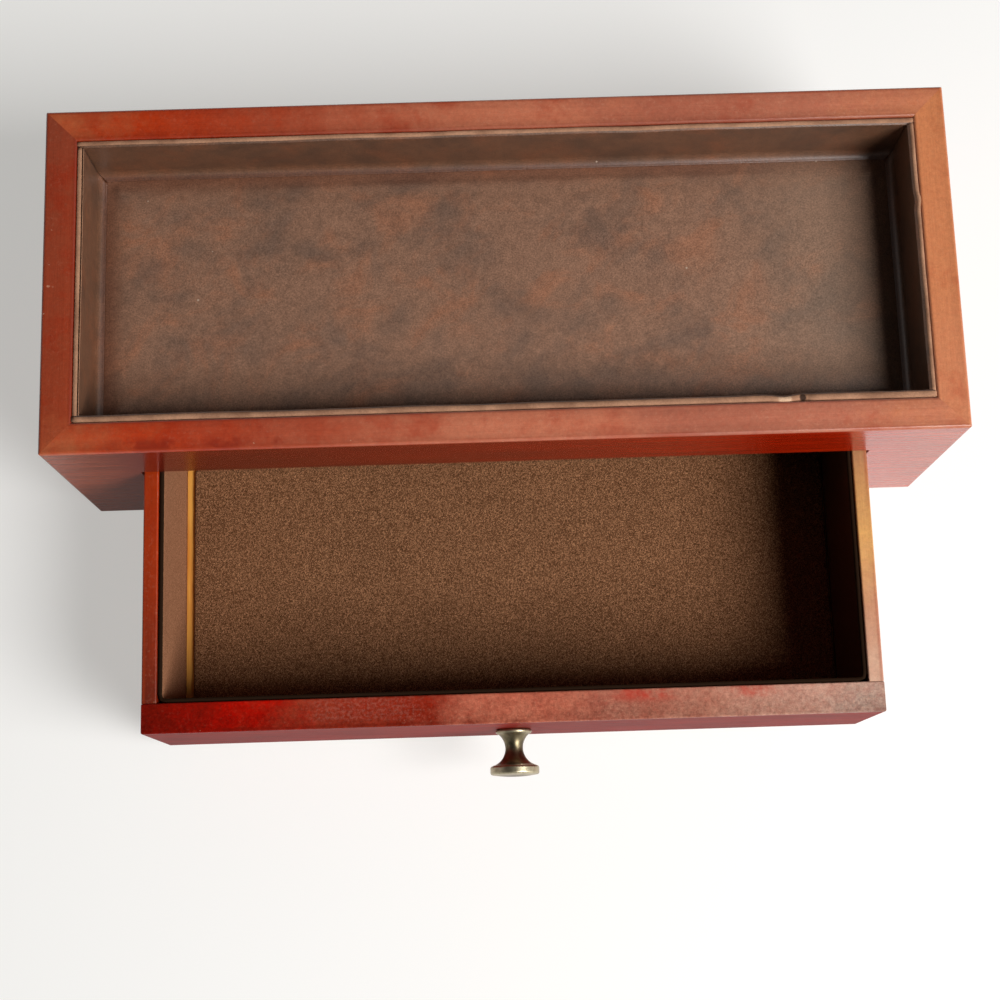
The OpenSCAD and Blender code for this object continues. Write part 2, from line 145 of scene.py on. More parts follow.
def makeFloor():
    half = studio["floorSize"] / 2
    plan = ((-1, -1), (1, -1), (1, 1), (-1, 1))
    corners = [(x * half, y * half, -studio["floorDrop"]) for x, y in plan]
    mesh = bpy.data.meshes.new("floor")
    mesh.from_pydata(corners, [], [(0, 1, 2, 3)])
    floor = bpy.data.objects.new("floor", mesh)
    bpy.context.scene.collection.objects.link(floor)
    material, tree, skin = newMaterial("floor white")
    direct = put(tree, "ShaderNodeLightPath", {}).outputs["Is Camera Ray"]
    colour = mixColour(tree, direct, (*studio["floorColour"], 1), (*studio["floorShown"], 1))
    tree.links.new(colour, skin.inputs["Base Color"])
    skin.inputs["Roughness"].default_value = 0.9
    skin.inputs["Specular IOR Level"].default_value = 0.0
    skin.inputs["Emission Color"].default_value = (*studio["glowColour"], 1)
    glow = mixValue(tree, direct, studio["glossGlow"], studio["cameraGlow"])
    tree.links.new(calc(tree, "MULTIPLY", seenRay(tree), glow), skin.inputs["Emission Strength"])
    mesh.materials.append(material)


# Small helpers for node trees

def srgb(r, g, b):
    def straight(c):
        c /= 255
        return c / 12.92 if c <= 0.04045 else ((c + 0.055) / 1.055) ** 2.4

    return straight(r), straight(g), straight(b), 1.0


def newMaterial(name):
    material = bpy.data.materials.new(name)
    material.use_nodes = True
    tree = material.node_tree
    tree.nodes.clear()
    out = tree.nodes.new("ShaderNodeOutputMaterial")
    skin = tree.nodes.new("ShaderNodeBsdfPrincipled")
    tree.links.new(skin.outputs["BSDF"], out.inputs["Surface"])
    return material, tree, skin


def put(tree, kind, wires, **settings):
    node = tree.nodes.new(kind)
    for key, value in settings.items():
        setattr(node, key, value)
    for key, value in wires.items():
        if isinstance(value, bpy.types.NodeSocket):
            tree.links.new(value, node.inputs[key])
        else:
            node.inputs[key].default_value = value
    return node


def calc(tree, operation, a, b=0.0):
    return put(tree, "ShaderNodeMath", {0: a, 1: b}, operation=operation).outputs[0]


def total(tree, start, *parts):
    # start plus each value times its weight
    for value, weight in parts:
        wires = {0: value, 1: weight, 2: start}
        start = put(tree, "ShaderNodeMath", wires, operation="MULTIPLY_ADD").outputs[0]
    return start


def blend(tree, value, low, high, first, last):
    # goes smoothly from first to last while value goes from low to high
    wires = {"Value": value, "From Min": low, "From Max": high, "To Min": first, "To Max": last}
    return put(tree, "ShaderNodeMapRange", wires, interpolation_type="SMOOTHSTEP").outputs[0]


def ease(tree, value, low, high):
    return blend(tree, value, low, high, 0.0, 1.0)


def fall(tree, value, low, high):
    return blend(tree, value, low, high, 1.0, 0.0)


def mixValue(tree, share, a, b):
    return put(tree, "ShaderNodeMix", {0: share, 2: a, 3: b}).outputs[0]


def mixColour(tree, share, a, b, mode="MIX"):
    node = put(tree, "ShaderNodeMix", {0: share, 6: a, 7: b}, data_type="RGBA", blend_type=mode)
    return node.outputs[2]


def ramp(tree, value, *stops):
    node = put(tree, "ShaderNodeValToRGB", {"Fac": value})
    points = node.color_ramp.elements
    while len(points) < len(stops):
        points.new(0.5)
    for point, (place, colour) in zip(points, stops):
        point.position = place
        point.color = colour
    return node.outputs["Color"]


def places(tree, stretch=(1, 1, 1), shift=(0, 0, 0)):
    coords = put(tree, "ShaderNodeTexCoord", {})
    wires = {"Vector": coords.outputs["Object"], "Location": shift, "Scale": stretch}
    return put(tree, "ShaderNodeMapping", wires).outputs["Vector"]


def axis(tree, name):
    coords = put(tree, "ShaderNodeTexCoord", {})
    return put(tree, "ShaderNodeSeparateXYZ", {"Vector": coords.outputs["Object"]}).outputs[name]


def cloud(tree, where, scale, detail=3.0, rough=0.55, twist=0.0):
    wires = {"Vector": where, "Scale": scale, "Detail": detail, "Roughness": rough, "Distortion": twist}
    return put(tree, "ShaderNodeTexNoise", wires).outputs["Fac"]


def bump(tree, skin, height, strength, distance):
    wires = {"Height": height, "Strength": strength, "Distance": distance}
    node = put(tree, "ShaderNodeBump", wires)
    tree.links.new(node.outputs["Normal"], skin.inputs["Normal"])


# Finishes

caseTone = {
    "deep": srgb(104, 22, 3),
    "red": srgb(150, 36, 4),
    "orange": srgb(182, 58, 8),
    "rubbed": srgb(150, 52, 18),
    "scuff": srgb(206, 150, 122),
    "brick": srgb(126, 26, 6),
}
drawerFrontTone = caseTone | {
    "deep": srgb(84, 10, 3),
    "red": srgb(122, 16, 5),
    "orange": srgb(142, 26, 8),
    "rubbed": srgb(88, 14, 5),
    "fresh": srgb(176, 30, 14),
    "smear": srgb(196, 140, 124),
}

# the top edge of each long board of the case: places in mm along it and its colour there, worn, and partly
# painted sheen that grows paler towards the lamp on the right
frontTop = (
    (-150, srgb(172, 88, 52)),
    (-116, srgb(174, 52, 13)),
    (-72, srgb(160, 68, 42)),
    (-15, srgb(180, 104, 76)),
    (20, srgb(184, 108, 80)),
    (55, srgb(162, 92, 70)),
    (110, srgb(174, 104, 80)),
    (150, srgb(187, 115, 80)),
)
boards = {
    # out is the side that faces outwards, and top the colours along the top edge
    # across is how much lighter the top is at its inner side and along its middle
    # specks, partly painted glints, and stain are shares from the first end to the last; one more share
    # gives painted shade along the inner arris
    # the paler ends are painted reflection of the bright floor on the upright face: where each starts and
    # is full, in mm, its colour and its share
    # patches lie on the top, over a span in mm and across a share of its width, from clear to full
    "front_panel": {
        "tone": caseTone, "seed": 0.31, "out": "-Y", "top": frontTop, "across": (-0.06, 0.2),
        "specksAndGlints": (0.12, 0.3), "stain": (0.45, 0.35), "mottle": 0.12, "innerShade": 0.35,
        "rough": 0.25, "gloss": 0.75, "dullFace": -0.04,
        "paintedSheen": ((108, 142, srgb(176, 92, 56), 0.25), (-108, -144, srgb(150, 98, 74), 0.5)),
        "rail": {"half": 119, "left": srgb(92, 8, 0), "right": srgb(154, 27, 0)},
        "patches": [
            {"span": (-132, -62), "across": (0.6, 0.1), "size": 60, "tint": "brick", "share": 0.65},
        ],
    },
    "back_panel": {
        "tone": caseTone, "seed": 0.57, "out": "+Y", "top": frontTop, "across": (-0.06, 0.2),
        "specksAndGlints": (0.12, 0.3), "stain": (0.45, 0.35), "mottle": 0.12, "innerShade": 0.35, "rough": 0.25,
    },
    "left_side": {
        "tone": caseTone, "seed": 0.83, "out": "-X",
        "specksAndGlints": (0.1, 0.1), "stain": (0.5, 0.5), "innerShade": 0.6, "rough": 0.25,
        "top": ((-59, srgb(168, 82, 48)), (-46, srgb(147, 59, 32)), (59, srgb(140, 61, 38))),
    },
    "right_side": {
        "tone": caseTone, "seed": 1.19, "out": "+X",
        "specksAndGlints": (0.15, 0.15), "stain": (0.3, 0.3), "innerShade": 0.12, "rough": 0.25,
        "top": ((-59, srgb(192, 121, 86)), (-10, srgb(188, 117, 77)), (59, srgb(192, 119, 77))),
    },
    "drawer_front": {
        "tone": drawerFrontTone, "seed": 1.63, "out": "-Y", "across": (0.25, 0.0),
        "specksAndGlints": (0.05, 0.45), "stain": (0.5, 0.1), "mottle": 0.25, "grain": 1.8,
        "rough": 0.20, "gloss": 0.12, "dullFace": 0.3,
        "top": (
            (-122, srgb(96, 12, 3)),
            (-102, srgb(128, 12, 3)),
            (-87, srgb(156, 10, 1)),
            (-66, srgb(134, 46, 28)),
            (-30, srgb(124, 33, 16)),
            (0, srgb(178, 102, 79)),
            (30, srgb(148, 86, 69)),
            (62, srgb(164, 112, 93)),
            (98, srgb(172, 131, 114)),
            (122, srgb(161, 136, 122)),
        ),
        "patches": [
            {"span": (28, 60), "across": (0.5, 0.9), "size": 80, "tint": "fresh", "share": 0.6},
            {"span": (66, 92), "across": (0.5, 0.9), "size": 80, "tint": "fresh", "share": 0.6},
            {"span": (-72, -26), "across": (0.0, 0.3), "size": 950, "tint": "smear", "share": 0.12},
        ],
    },
    "drawer_left_side": {
        "tone": caseTone, "seed": 2.07, "out": "-X",
        "specksAndGlints": (0.2, 0.1), "stain": (0.3, 0.3), "rough": 0.25,
        "top": (
            (-137, srgb(96, 29, 11)),
            (-115, srgb(128, 40, 13)),
            (-85, srgb(153, 46, 6)),
            (-40, srgb(146, 46, 4)),
        ),
    },
    "drawer_right_side": {
        "tone": caseTone, "seed": 2.41, "out": "+X",
        "specksAndGlints": (0.4, 0.1), "stain": (0.1, 0.1), "rough": 0.30,
        "top": (
            (-137, srgb(198, 158, 134)),
            (-112, srgb(186, 132, 100)),
            (-88, srgb(202, 151, 88)),
            (-62, srgb(156, 114, 74)),
        ),
    },
    "drawer_back": {
        "tone": caseTone, "seed": 2.83, "out": "+Y",
        "specksAndGlints": (0.1, 0.1), "stain": (0.3, 0.3), "rough": 0.3,
        "top": ((-120, srgb(140, 44, 10)), (120, srgb(150, 60, 26))),
    },
}
lacquerLook = {
    "acrossGrain": 400,  # how fine the streaks are across the wood and along it
    "alongGrain": 20,
    "poreFiner": 3.4,
    "poreShare": 0.5,
    "clouds": 26.0,  # this and the next ones are scales: larger is finer
    "blotches": 90.0,
    "stains": 44.0,
    "mottle": 460.0,
    "specksAndGlints": 950.0,
    "grain": 1000.0,
    "chips": 420.0,
    "chipShare": 0.7,
    "railShare": 0.85,
    "railFade": (-3 * mm, 30 * mm),  # from the half length of the rail
    "patchFade": 12 * mm,
    "wearShare": 0.6,
    "faceRough": 0.28,
    "relief": 0.25 * mm,
}


def lacquer(node, look):
    material, tree, skin = newMaterial(node + " lacquer")
    low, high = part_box(node)
    tone, seed = look["tone"], look["seed"]
    side = "XY".index(look["out"][1])
    run = "YX"[side]
    outer, inner = (low[side], high[side]) if look["out"][0] == "-" else (high[side], low[side])
    shift = (seed, seed * 1.7, seed * 2.3)
    plain = places(tree, (1, 1, 1), shift)
    fine, coarse = lacquerLook["acrossGrain"], lacquerLook["alongGrain"]
    long = [(fine, coarse, fine), (coarse, fine, fine)][side]  # the wood runs along the board
    streaks = cloud(tree, places(tree, long, shift), 1.0, 4.0, 0.7)
    finer = tuple(v * lacquerLook["poreFiner"] for v in long)
    pores = cloud(tree, places(tree, finer, shift), 1.0, 2.0, 0.7)
    clouds = cloud(tree, plain, lacquerLook["clouds"], 4.0, 0.6, 0.4)
    blotch = cloud(tree, plain, lacquerLook["blotches"], 4.0, 0.65)
    grain = cloud(tree, plain, lacquerLook["grain"], 3.0, 0.85)
    # upright faces show the streaks of the wood under a deep red
    figure = total(tree, 0.0, (streaks, 0.7), (clouds, 0.3))
    colour = ramp(tree, figure, (0.30, tone["deep"]), (0.50, tone["red"]), (0.70, tone["orange"]))
    dark = calc(tree, "MULTIPLY", ease(tree, pores, 0.54, 0.72), lacquerLook["poreShare"])
    colour = mixColour(tree, dark, colour, tone["deep"])
    if look.get("rail"):
        # between the stiles the panel gets painted shade: a deeper red, as if it mirrored the dark drawer,
        # that brightens to the right towards the lamp
        half = look["rail"]["half"] * mm
        ends = [half + reach for reach in lacquerLook["railFade"]]
        inRail = fall(tree, calc(tree, "ABSOLUTE", axis(tree, run)), *ends)
        reds = (look["rail"]["left"], look["rail"]["right"])
        railShade = mixColour(tree, ease(tree, axis(tree, run), -half, half), *reds)
        railShade = mixColour(tree, 1.0, railShade, total(tree, 0.25, (streaks, 1.5)), "MULTIPLY")
        inRail = calc(tree, "MULTIPLY", inRail, lacquerLook["railShare"])
        colour = mixColour(tree, inRail, colour, railShade)
    # painted reflection: the stile ends are paled as if they mirrored the bright floor
    for start, full, tint, share in look.get("paintedSheen", ()):
        pale = ease(tree, axis(tree, run), start * mm, full * mm)
        tint = mixColour(tree, 1.0, tint, total(tree, 0.35, (streaks, 1.3)), "MULTIPLY")
        colour = mixColour(tree, calc(tree, "MULTIPLY", pale, share), colour, tint)
    # the top edge is worn in its own way from end to end, and paled with painted sheen towards the lamp
    fromTop = calc(tree, "SUBTRACT", high.z, axis(tree, "Z"))
    onTop = fall(tree, fromTop, 0.4 * mm, 1.6 * mm)
    first, last = look["top"][0][0] * mm, look["top"][-1][0] * mm
    wires = {"Value": axis(tree, run), "From Min": first, "From Max": last}
    along = put(tree, "ShaderNodeMapRange", wires).outputs[0]
    wander = calc(tree, "MULTIPLY", calc(tree, "SUBTRACT", blotch, 0.5), 0.25)
    stops = [((place * mm - first) / (last - first), tint) for place, tint in look["top"]]
    wornAndSheen = ramp(tree, calc(tree, "ADD", along, wander), *stops)
    stained = ease(tree, cloud(tree, plain, lacquerLook["stains"], 4.0, 0.7), 0.50, 0.68)
    stained = calc(tree, "MULTIPLY", stained, blend(tree, along, 0.1, 0.9, *look["stain"]))
    wornAndSheen = mixColour(tree, stained, wornAndSheen, tone["red"])
    mottle = ease(tree, cloud(tree, plain, lacquerLook["mottle"], 4.0, 0.75), 0.40, 0.66)
    wornAndSheen = mixColour(tree, calc(tree, "MULTIPLY", mottle, look.get("mottle", 0.1)), wornAndSheen, tone["red"])
    inward = ease(tree, axis(tree, look["out"][1]), outer, inner)
    crown = calc(tree, "MULTIPLY", inward, calc(tree, "SUBTRACT", 1.0, inward))
    tilt, hump = look.get("across", (0.12, 0.0))
    gritty = look.get("grain", 0.7)
    level = 1.06 - 0.5 * (tilt + 0.3 + gritty) - 0.67 * hump  # keeps the mean of the sum below
    shade = total(tree, level, (inward, tilt), (crown, 4 * hump), (streaks, 0.3), (grain, gritty))
    wornAndSheen = mixColour(tree, 1.0, wornAndSheen, shade, "MULTIPLY")
    # pale specks: scuffs, partly painted glints where the grain would catch the lamp
    specksAndGlints = ease(tree, cloud(tree, plain, lacquerLook["specksAndGlints"], 3.0, 0.75), 0.52, 0.72)
    specksAndGlints = calc(tree, "MULTIPLY", specksAndGlints, blend(tree, blotch, 0.38, 0.62, 0.35, 1.0))
    share = blend(tree, along, 0.1, 0.8, *look["specksAndGlints"])
    wornAndSheen = mixColour(tree, calc(tree, "MULTIPLY", specksAndGlints, share), wornAndSheen, tone["scuff"])
    fade = lacquerLook["patchFade"]
    for patch in look.get("patches", ()):
        start, end = (place * mm for place in patch["span"])
        inSpan = ease(tree, axis(tree, run), start, start + fade)
        inSpan = calc(tree, "MULTIPLY", inSpan, fall(tree, axis(tree, run), end - fade, end))
        inBand = ease(tree, inward, *patch["across"])
        broken = ease(tree, cloud(tree, plain, patch["size"], 4.0, 0.7), 0.42, 0.60)
        covered = calc(tree, "MULTIPLY", calc(tree, "MULTIPLY", inSpan, inBand), broken)
        covered = calc(tree, "MULTIPLY", covered, patch["share"])
        wornAndSheen = mixColour(tree, covered, wornAndSheen, tone[patch["tint"]])
    # painted shade along the inner arris, so the edge by the liner does not catch the light
    fromInner = calc(tree, "ABSOLUTE", calc(tree, "SUBTRACT", axis(tree, look["out"][1]), inner))
    innerShade = blend(tree, fromInner, 0.3 * mm, 1.5 * mm, look.get("innerShade", 0.0), 0.0)
    wornAndSheen = mixColour(tree, innerShade, wornAndSheen, tone["deep"])
    colour = mixColour(tree, onTop, colour, wornAndSheen)
    # its outer arris is rubbed thin, with a few chips
    fromFace = calc(tree, "ABSOLUTE", calc(tree, "SUBTRACT", axis(tree, look["out"][1]), outer))
    fromEdge = calc(tree, "ADD", fromTop, fromFace)
    wear = fall(tree, fromEdge, 0.8 * mm, 1.6 * mm)
    wear = calc(tree, "MULTIPLY", wear, ease(tree, clouds, 0.40, 0.66))
    colour = mixColour(tree, calc(tree, "MULTIPLY", wear, lacquerLook["wearShare"]), colour, tone["rubbed"])
    chips = ease(tree, cloud(tree, plain, lacquerLook["chips"], 1.0), 0.775, 0.80)
    chips = calc(tree, "MULTIPLY", chips, fall(tree, fromEdge, 1.0 * mm, 5 * mm))
    colour = mixColour(tree, calc(tree, "MULTIPLY", chips, lacquerLook["chipShare"]), colour, tone["scuff"])
    tree.links.new(colour, skin.inputs["Base Color"])
    skin.inputs["Specular IOR Level"].default_value = look.get("gloss", 0.5)
    face = lacquerLook["faceRough"] + look.get("dullFace", 0.0)
    topRough = total(tree, look["rough"], (clouds, 0.1))
    tree.links.new(mixValue(tree, onTop, face, topRough), skin.inputs["Roughness"])
    bump(tree, skin, total(tree, 0.0, (streaks, 1.0), (grain, 0.12)), 0.6, lacquerLook["relief"])
    return material


woodTone = {
    # the light and the dark rings
    "golden": (srgb(236, 176, 78), srgb(196, 116, 34)),
    "pale": (srgb(206, 168, 118), srgb(168, 122, 76)),
}


def bareWood(name, grain, light, dark, seed=0.0):
    material, tree, skin = newMaterial(name)
    shift = (seed, seed * 1.3, seed * 2.1)
    long = {"X": (10, 260, 260), "Y": (260, 10, 260)}[grain]
    rings = cloud(tree, places(tree, long, shift), 1.0, 3.0, 0.6, 0.4)
    pores = cloud(tree, places(tree, tuple(v * 4 for v in long), shift), 1.0, 2.0, 0.7)
    colour = ramp(tree, rings, (0.32, dark), (0.66, light))
    colour = mixColour(tree, calc(tree, "MULTIPLY", ease(tree, pores, 0.58, 0.72), 0.4), colour, dark)
    tree.links.new(colour, skin.inputs["Base Color"])
    tree.links.new(total(tree, 0.45, (pores, 0.2)), skin.inputs["Roughness"])
    bump(tree, skin, calc(tree, "ADD", rings, pores), 0.2, 0.15 * mm)
    return material


leatherTone = {
    "brown": srgb(134, 99, 79),
    "russet": srgb(150, 100, 74),
    "smoke": srgb(101, 80, 68),
    # the next colour is painted shade for the pad's rolled edges and the wall's foot
    "stain": srgb(100, 52, 30),
    # the next colour is a painted sheen, pale and grey, laid over the pad towards the lamp
    "paintedSheen": srgb(128, 109, 92),
    "lint": srgb(214, 196, 176),
}
leatherLook = {
    "slant": 32,  # degrees
    "stretch": 1.3,
    "warm": 66.0,
    "russetShare": 0.75,
    "smoke": 58.0,
    "smokeShare": 0.75,
    "brush": 300.0,
    "tooth": 1900.0,
    "pebbles": 1500.0,
    "rollShadeShare": 0.5,
    "paintedSheenShare": 0.4,
    "dust": 62.0,
    "lintShare": 0.45,
    "padSatin": 0.36,
    "linerSatin": 0.34,
    "linerGloss": 0.75,
    # painted shade: the liners are a darker, warmer copy of the pad's leather, as the walls stand in shade
    "linerShade": (0.57, 0.49, 0.41, 1),  # the liners are darker than the pad
    "relief": 0.12 * mm,
}


def leather(name, seed=0.0, edgeOf=None, footAt=None, level=(1, 1, 1, 1)):
    # a brown hide print: russet and smoky clouds under a fine grain, with painted shade where an edge rolls
    # down away from the lamp
    material, tree, skin = newMaterial(name)
    flat = places(tree, (1, 1, 1), (seed, seed * 1.7, seed * 2.9))
    wires = {"Vector": flat, "Rotation": (0, 0, math.radians(leatherLook["slant"]))}
    wires["Scale"] = (leatherLook["stretch"], 1, 1)
    slanted = put(tree, "ShaderNodeMapping", wires, vector_type="TEXTURE").outputs["Vector"]
    moved = put(tree, "ShaderNodeVectorMath", {0: slanted, 1: (7.3, 1.9, 4.1)}).outputs[0]
    warm = cloud(tree, slanted, leatherLook["warm"], 5.0, 0.62, 0.7)
    smoke = cloud(tree, moved, leatherLook["smoke"], 4.0, 0.55, 0.3)
    tooth = cloud(tree, flat, leatherLook["tooth"], 2.0, 0.75)
    russet = calc(tree, "MULTIPLY", ease(tree, warm, 0.46, 0.70), leatherLook["russetShare"])
    colour = mixColour(tree, russet, leatherTone["brown"], leatherTone["russet"])
    smoky = calc(tree, "MULTIPLY", ease(tree, smoke, 0.42, 0.72), leatherLook["smokeShare"])
    colour = mixColour(tree, smoky, colour, leatherTone["smoke"])
    brush = cloud(tree, flat, leatherLook["brush"], 4.0, 0.7)
    brush = ramp(tree, brush, (0.32, (0.86, 0.86, 0.86, 1)), (0.68, (1.14, 1.14, 1.14, 1)))
    colour = mixColour(tree, 1.0, colour, brush, "MULTIPLY")
    if edgeOf:
        low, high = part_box(edgeOf)
        # painted shade on the pad's rolled edges at the left and rear, which turn away from the lamp
        fromLeft = calc(tree, "SUBTRACT", axis(tree, "X"), low.x)
        fromRear = calc(tree, "SUBTRACT", high.y, axis(tree, "Y"))
        near = total(tree, calc(tree, "MINIMUM", fromLeft, fromRear), (warm, 6 * mm))
        stained = blend(tree, near, 4 * mm, 11 * mm, leatherLook["rollShadeShare"], 0.0)
        colour = mixColour(tree, stained, colour, leatherTone["stain"])
        # painted sheen: the pad turns paler and greyer towards the lamp on the right
        reach = (high.x - 70 * mm, high.x - 10 * mm)
        paintedSheen = blend(tree, axis(tree, "X"), *reach, 0.0, leatherLook["paintedSheenShare"])
        colour = mixColour(tree, paintedSheen, colour, leatherTone["paintedSheen"])
    if footAt is not None:
        # the painted shade runs on over the foot of the wall, so that wall and pad meet without a line
        reach = (footAt + 1.0 * mm, footAt + 1.5 * mm)
        foot = blend(tree, axis(tree, "Z"), *reach, leatherLook["rollShadeShare"], 0.0)
        colour = mixColour(tree, foot, colour, leatherTone["stain"])
        skin.inputs["Specular IOR Level"].default_value = leatherLook["linerGloss"]
    speckle = ramp(tree, tooth, (0.28, (0.6, 0.6, 0.6, 1)), (0.72, (1.38, 1.38, 1.38, 1)))
    speckle = mixColour(tree, 1.0, speckle, level, "MULTIPLY")
    colour = mixColour(tree, 1.0, colour, speckle, "MULTIPLY")
    wires = {"Vector": flat, "Scale": leatherLook["dust"]}
    dust = put(tree, "ShaderNodeTexVoronoi", wires).outputs["Distance"]
    lint = fall(tree, dust, 0.018, 0.028)
    lint = calc(tree, "MULTIPLY", lint, leatherLook["lintShare"])
    colour = mixColour(tree, lint, colour, leatherTone["lint"])
    tree.links.new(colour, skin.inputs["Base Color"])
    satin = leatherLook["padSatin" if footAt is None else "linerSatin"]
    tree.links.new(total(tree, satin, (tooth, 0.16)), skin.inputs["Roughness"])
    wires = {"Vector": flat, "Scale": leatherLook["pebbles"]}
    pebbles = put(tree, "ShaderNodeTexVoronoi", wires).outputs["Distance"]
    bump(tree, skin, calc(tree, "ADD", pebbles, tooth), 0.25, leatherLook["relief"])
    return material


rawEdgeLook = {
    "dark": srgb(145, 105, 81),
    "light": srgb(176, 132, 104),
    "torn": (
        # x, y and reach in mm, then the colour
        (90.4, -47.7, 2.6, srgb(206, 170, 140)),
        (96.4, -47.0, 1.4, srgb(62, 43, 33)),
    ),
}


def rawEdge(name):
    material, tree, skin = newMaterial(name)
    fibres = cloud(tree, places(tree), 1600.0, 3.0, 0.7)
    drift = cloud(tree, places(tree), 120.0, 2.0)
    colour = ramp(tree, drift, (0.34, rawEdgeLook["dark"]), (0.66, rawEdgeLook["light"]))
    for x, y, reach, tint in rawEdgeLook["torn"]:
        wires = {0: places(tree, (1, 1, 0)), 1: (x * mm, y * mm, 0)}
        far = put(tree, "ShaderNodeVectorMath", wires, operation="DISTANCE").outputs["Value"]
        colour = mixColour(tree, fall(tree, far, 0.6 * reach * mm, reach * mm), colour, tint)
    shade = ramp(tree, fibres, (0.30, (0.78, 0.78, 0.78, 1)), (0.70, (1.15, 1.15, 1.15, 1)))
    tree.links.new(mixColour(tree, 1.0, colour, shade, "MULTIPLY"), skin.inputs["Base Color"])
    skin.inputs["Roughness"].default_value = 0.85
    skin.inputs["Specular IOR Level"].default_value = 0.2
    bump(tree, skin, fibres, 0.25, 0.1 * mm)
    return material


feltTone = {
    # deep in the pile, at its top and its flecks
    "drawer": (srgb(46, 28, 16), srgb(108, 73, 49), srgb(196, 146, 108)),
    # the band's pile is lighter than the drawer's: painted sheen for its upright walls, on top of its real
    # sheen
    "band": (srgb(104, 68, 48), srgb(140, 96, 70), srgb(190, 140, 106)),
    "base": (srgb(58, 38, 28), srgb(84, 58, 42), srgb(120, 90, 70)),
}


def felt(name, low, high, fleck, sheen, seed=0.0, shadeMarks=None):
    material, tree, skin = newMaterial(name)
    shift = (seed, seed * 1.9, seed * 2.7)
    flat = places(tree, (1, 1, 1), shift)
    nap = cloud(tree, flat, 4200.0, 2.0, 0.8)
    fibres = put(tree, "ShaderNodeTexVoronoi", {"Vector": flat, "Scale": 3800.0}).outputs["Color"]
    pile = total(tree, 0.0, (nap, 0.6), (fibres, 0.4))
    drift = cloud(tree, flat, 24.0, 3.0, 0.5)
    colour = ramp(tree, pile, (0.28, low), (0.52, high), (0.78, fleck))
    shade = ramp(tree, drift, (0.3, (0.93, 0.93, 0.93, 1)), (0.7, (1.06, 1.06, 1.06, 1)))
    colour = mixColour(tree, 1.0, colour, shade, "MULTIPLY")
    # painted shade: the band's top edge is darkened so it does not catch the light
    if shadeMarks:
        ragged = calc(tree, "SUBTRACT", cloud(tree, flat, 260.0, 3.0, 0.7), 0.5)
        height = total(tree, axis(tree, "Z"), (ragged, shadeMarks["ragged"]))
        cut = ease(tree, height, shadeMarks["from"], shadeMarks["to"])
        colour = mixColour(tree, cut, colour, shadeMarks["colour"])
        # painted shade on the right wall, which sits in shadow
        rightShade = ease(tree, axis(tree, "X"), *shadeMarks["rightShade"])
        colour = mixColour(tree, calc(tree, "MULTIPLY", rightShade, shadeMarks["rightShadeShare"]), colour, shadeMarks["colour"])
    tree.links.new(colour, skin.inputs["Base Color"])
    skin.inputs["Roughness"].default_value = 1.0
    skin.inputs["Specular IOR Level"].default_value = 0.0
    skin.inputs["Sheen Weight"].default_value = sheen
    skin.inputs["Sheen Roughness"].default_value = 0.45
    skin.inputs["Sheen Tint"].default_value = high
    bump(tree, skin, nap, 0.3, 0.2 * mm)
    return material


brassTone = {
    "dark": srgb(54, 47, 36),
    "dull": srgb(122, 111, 87),
    "bright": srgb(196, 186, 158),
}


def antiqueBrass(name):
    material, tree, skin = newMaterial(name)
    low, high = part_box("drawer_knob")
    patina = cloud(tree, places(tree), 320.0, 5.0, 0.65, 0.5)
    upright = calc(tree, "SUBTRACT", axis(tree, "Z"), (low.z + high.z) / 2)
    sideways = calc(tree, "POWER", axis(tree, "X"), 2.0)
    squares = calc(tree, "ADD", sideways, calc(tree, "POWER", upright, 2.0))
    handled = ease(tree, calc(tree, "SQRT", squares), 2.6 * mm, 7.4 * mm)  # hands keep the rims bright
    shine = total(tree, 0.0, (handled, 0.3), (patina, 0.6))
    stops = ((0.14, brassTone["dark"]), (0.40, brassTone["dull"]), (0.76, brassTone["bright"]))
    tree.links.new(ramp(tree, shine, *stops), skin.inputs["Base Color"])
    skin.inputs["Metallic"].default_value = 1.0
    tree.links.new(total(tree, 0.30, (patina, 0.18)), skin.inputs["Roughness"])
    bump(tree, skin, patina, 0.08, 0.1 * mm)
    return material


def steel(name):
    material, tree, skin = newMaterial(name)
    smear = cloud(tree, places(tree), 500.0, 3.0)
    colour = ramp(tree, smear, (0.3, srgb(150, 148, 142)), (0.7, srgb(196, 194, 190)))
    tree.links.new(colour, skin.inputs["Base Color"])
    skin.inputs["Metallic"].default_value = 1.0
    tree.links.new(total(tree, 0.25, (smear, 0.25)), skin.inputs["Roughness"])
    return material


# Meshes

def addPiece(name, points, faces, materials, indices=None, smooth=True):
    mesh = bpy.data.meshes.new(name)
    mesh.from_pydata([tuple(p) for p in points], [], faces)
    for material in materials:
        mesh.materials.append(material)
    if indices is not None:
        mesh.polygons.foreach_set("material_index", np.array(indices, np.int32))
    mesh.polygons.foreach_set("use_smooth", np.full(len(faces), smooth))
    mesh.update()
    piece = bpy.data.objects.new(name, mesh)
    bpy.context.scene.collection.objects.link(piece)
    return piece


def wave(x, y, z, size, seed):
    return noise.noise(Vector((x / size + seed, y / size - seed, z / size + 2 * seed)))


